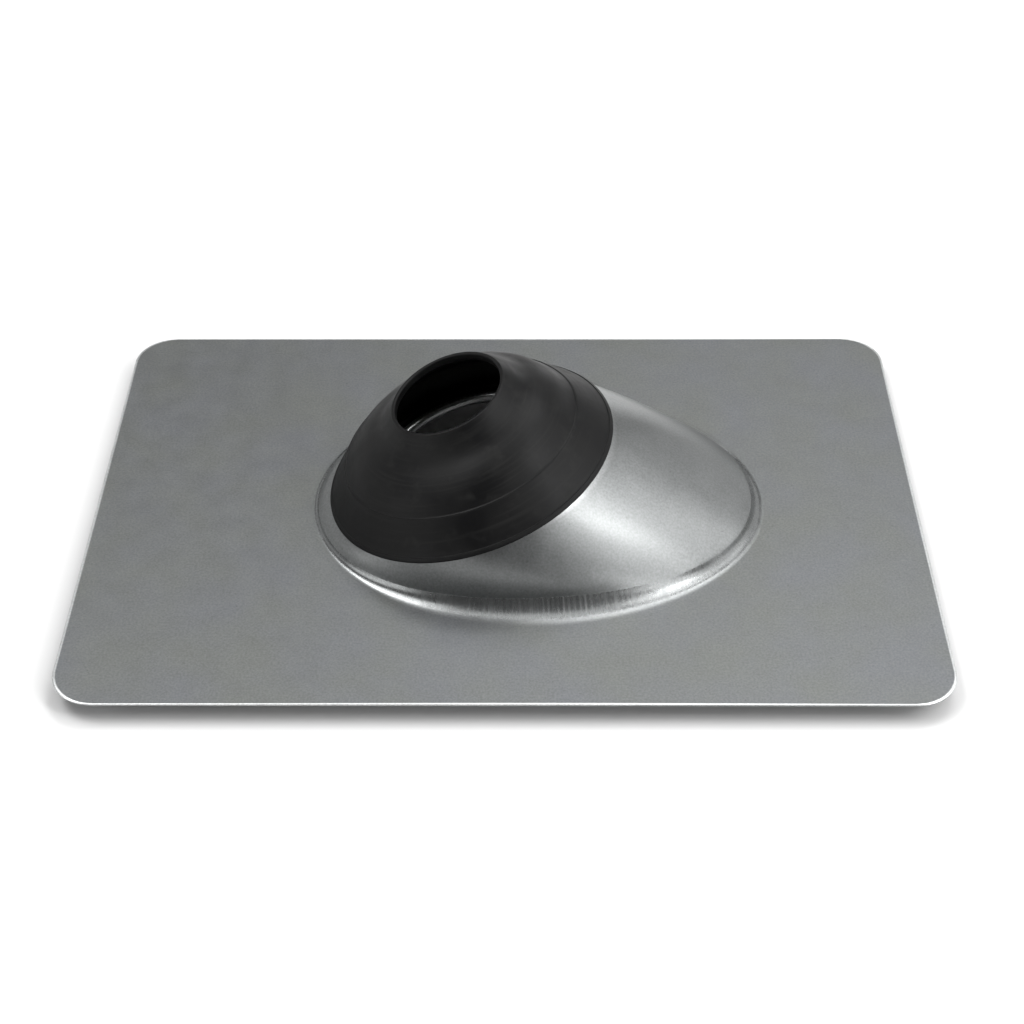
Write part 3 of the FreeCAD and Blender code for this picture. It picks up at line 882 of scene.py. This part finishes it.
floor_mesh = bpy.data.meshes.new("floor")
side = FLOOR_SIZE / 2
floor_mesh.from_pydata([(-side, -side, -FLOOR_DROP), (side, -side, -FLOOR_DROP),
                        (side, side, -FLOOR_DROP), (-side, side, -FLOOR_DROP)], [], [(0, 1, 2, 3)])
floor = bpy.data.objects.new("floor", floor_mesh)
bpy.context.scene.collection.objects.link(floor)
material, tree, shader = new_material("white_paper")
shader.inputs["Base Color"].default_value = linear(FLOOR_COLOUR)
shader.inputs["Roughness"].default_value = FLOOR_ROUGHNESS
floor_mesh.materials.append(material)
print("floor:", round(FLOOR_DROP / MM, 1), "mm under the sheet")

# %% [markdown]
# ## Lights
# Zinc is a dull mirror: each part of the wall shows what stands where it looks to. One big dome
# of light would make it flat and grey. So the studio is a set of softboxes, each placed by its
# direction and given its width and height in degrees. Bright small ones make the highlights, and
# wide weak ones fill the shade between them.

# %% One softbox
def softbox(name, place, aim, size, power):
    """A rectangular light that faces the aim."""
    lamp = bpy.data.lights.new(name, "AREA")
    lamp.shape = "RECTANGLE"
    lamp.size, lamp.size_y = size
    lamp.energy = power
    box = bpy.data.objects.new(name, lamp)
    facing = (Vector(aim) - Vector(place)).to_track_quat("-Z", "Y").to_matrix().to_4x4()
    box.matrix_world = Matrix.Translation(Vector(place)) @ facing
    bpy.context.scene.collection.objects.link(box)


def towards(from_zenith, azimuth, distance):
    """A place at an angle from straight up, and an azimuth from +Y, the back, towards +X."""
    a, b = np.radians([from_zenith, azimuth])
    return np.array([np.sin(a) * np.sin(b), np.sin(a) * np.cos(b), np.cos(a)]) * distance


# %% All the softboxes
LAMP_DISTANCE = 2.2
BOXES = {  # angle from the zenith, azimuth, width and height in degrees, brightness
    "back_left": (30, 303, 21, 20, 8.2),
    "back_right": (31, 30, 20, 16, 9.0),
    "back": (38, 3, 20, 18, 3.0),
    "side": (63, 127, 28, 24, 3.2),
    "side_high": (38, 110, 14, 15, 6.5),
    "side_fill": (48, 66, 40, 38, 0.85),
    "spot": (48, 116, 8, 8, 22.0),
    "side_low": (83, 140, 22, 12, 5.0),
    "right": (70, 88, 36, 54, 1.5),
    "low_right": (83, 50, 36, 30, 0.7),
    "low_left": (75, 302, 58, 30, 0.5),
    "left": (70, 246, 40, 26, 2.2),
    "left_high": (29, 270, 22, 20, 4.5),
    "top": (8, 5, 26, 24, 1.5),
    "top_right": (27, 92, 20, 18, 4.5),
    "back_low": (84, 12, 18, 12, 3.0),
    "front_left": (83, 210, 20, 12, 0.8),
}
for name, (from_zenith, azimuth, wide, high, brightness) in BOXES.items():
    size = 2 * LAMP_DISTANCE * np.tan(np.radians([wide, high]) / 2)
    # A lamp's power is pi times its area times its brightness.
    softbox(name, towards(from_zenith, azimuth, LAMP_DISTANCE), (0, 0, 0), size,
            np.pi * size[0] * size[1] * brightness)
print(len(BOXES), "softboxes,", LAMP_DISTANCE, "m away")

# %% The room and how it is shown
ROOM_BRIGHTNESS = 0.02

world = bpy.data.worlds.new("studio")
bpy.context.scene.world = world
world.use_nodes = True
world.node_tree.nodes["Background"].inputs["Color"].default_value = (1, 1, 1, 1)
world.node_tree.nodes["Background"].inputs["Strength"].default_value = ROOM_BRIGHTNESS
bpy.context.scene.view_settings.view_transform = "Standard"
print("view transform:", bpy.context.scene.view_settings.view_transform)
